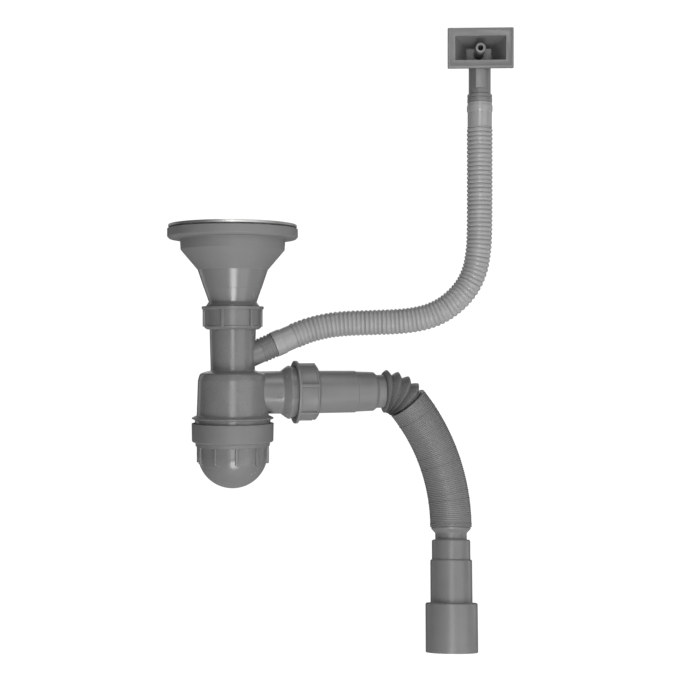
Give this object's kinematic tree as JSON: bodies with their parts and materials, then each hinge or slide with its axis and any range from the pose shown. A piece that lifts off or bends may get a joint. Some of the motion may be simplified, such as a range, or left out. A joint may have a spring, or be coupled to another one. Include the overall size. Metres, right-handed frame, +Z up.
{
  "type": "sink bottle trap",
  "caption": "Kitchen sink bottle trap with a basket strainer funnel, screw-on flask, flexible stepped waste hose and a corrugated overflow hose with a rectangular head.",
  "frame": {"origin": "centre of the sink's drain hole, on top of the strainer's flange, which clamps on to the sink", "axes": "+Z up along the drain and trap axis, +X from the trap along its outlet; the overflow rises on the same side"},
  "size_m": [0.3193, 0.124, 0.5987],
  "materials": {
    "grey_polypropylene": "satin moulded grey polypropylene",
    "pale_hose": "satin pale grey polyethylene",
    "stainless_steel": "pressed and brushed",
    "brass": "machined",
    "black_rubber": "matt",
    "washer_plastic": "natural polyethylene"
  },
  "bodies": {
    "sink_waste": {"strainer_bowl": "stainless_steel", "clamp_screw": "stainless_steel", "flange_gasket": "black_rubber", "waste_funnel": "grey_polypropylene", "funnel_insert": "brass"},
    "basket": {"basket": "stainless_steel", "basket_knob": "stainless_steel", "basket_seal": "black_rubber"},
    "inlet_washer": {"inlet_slip_washer": "washer_plastic"},
    "inlet_nut": {"inlet_nut": "grey_polypropylene"},
    "trap": {"trap_body": "grey_polypropylene", "inlet_gasket": "black_rubber", "overflow_hose_lower": "pale_hose"},
    "flask_seal": {"flask_gasket": "black_rubber"},
    "flask": {"flask": "grey_polypropylene"},
    "outlet_washer": {"outlet_slip_washer": "washer_plastic"},
    "outlet_nut": {"outlet_nut": "grey_polypropylene"},
    "outlet_seal": {"outlet_cone_gasket": "black_rubber"},
    "outlet_pipe": {"outlet_pipe": "grey_polypropylene", "hose_elbow": "grey_polypropylene"},
    "hose_run": {"hose_bellows": "grey_polypropylene"},
    "adapter": {"end_adapter": "grey_polypropylene"},
    "overflow_riser": {"overflow_hose_upper": "pale_hose"},
    "overflow_head": {"overflow_head": "grey_polypropylene"}
  },
  "joints": [
    {"name": "basket_lift", "type": "slide", "parent": "sink_waste", "child": "basket", "axis": [0, 0, 1], "range_m": [0, 0.06]},
    {"name": "inlet_nut_travel", "type": "slide", "parent": "sink_waste", "child": "inlet_washer", "axis": [0, 0, -1], "range_m": [0, 0.0069]},
    {"name": "inlet_nut_turn", "type": "hinge", "parent": "inlet_washer", "child": "inlet_nut", "pos_m": [0, 0, -0.0765], "axis": [0, 0, 1], "range_deg": [-990, 0]},
    {"name": "trap_swivel", "type": "hinge", "parent": "sink_waste", "child": "trap", "pos_m": [0, 0, -0.088], "axis": [0, 0, 1], "range_deg": [-180, 180]},
    {"name": "flask_travel", "type": "slide", "parent": "trap", "child": "flask_seal", "axis": [0, 0, -1], "range_m": [0, 0.0161]},
    {"name": "flask_turn", "type": "hinge", "parent": "flask_seal", "child": "flask", "pos_m": [0, 0, -0.1866], "axis": [0, 0, 1], "range_deg": [-1440, 0]},
    {"name": "outlet_nut_travel", "type": "slide", "parent": "trap", "child": "outlet_washer", "axis": [1, 0, 0], "range_m": [0, 0.0101]},
    {"name": "outlet_nut_turn", "type": "hinge", "parent": "outlet_washer", "child": "outlet_nut", "pos_m": [0.0588, 0, -0.158], "axis": [1, 0, 0], "range_deg": [0, 1440]},
    {"name": "outlet_swivel", "type": "hinge", "parent": "trap", "child": "outlet_seal", "pos_m": [0.072, 0, -0.158], "axis": [1, 0, 0], "range_deg": [-90, 90]},
    {"name": "outlet_slide", "type": "slide", "parent": "outlet_seal", "child": "outlet_pipe", "axis": [1, 0, 0], "range_m": [0, 0.012]},
    {"name": "hose_flex", "type": "hinge", "parent": "outlet_pipe", "child": "hose_run", "pos_m": [0.16049, -0.00003, -0.16079], "axis": [0, 0.9999, -0.0101], "range_deg": [-35, 20], "deforming": ["hose_elbow"]},
    {"name": "hose_stretch", "type": "slide", "parent": "hose_run", "child": "adapter", "axis": [-0.047, -0.1707, -0.9842], "range_m": [0, 0.25], "deforming": ["hose_bellows"]},
    {"name": "overflow_flex", "type": "hinge", "parent": "trap", "child": "overflow_riser", "pos_m": [0.21218, -0.0334, -0.06771], "axis": [0.225, 0.9744, 0], "range_deg": [-20, 20], "deforming": ["overflow_hose_upper"]},
    {"name": "overflow_head_swivel", "type": "hinge", "parent": "overflow_riser", "child": "overflow_head", "pos_m": [0.23198, -0.039, 0.11809], "axis": [0, 0, 1], "range_deg": [-180, 180]}
  ],
  "couplings": [
    {"joint": "inlet_nut_travel", "follows": "inlet_nut_turn", "m_per_rad": -0.00039789},
    {"joint": "flask_travel", "follows": "flask_turn", "m_per_rad": -0.00063662},
    {"joint": "outlet_nut_travel", "follows": "outlet_nut_turn", "m_per_rad": 0.00039789}
  ]
}
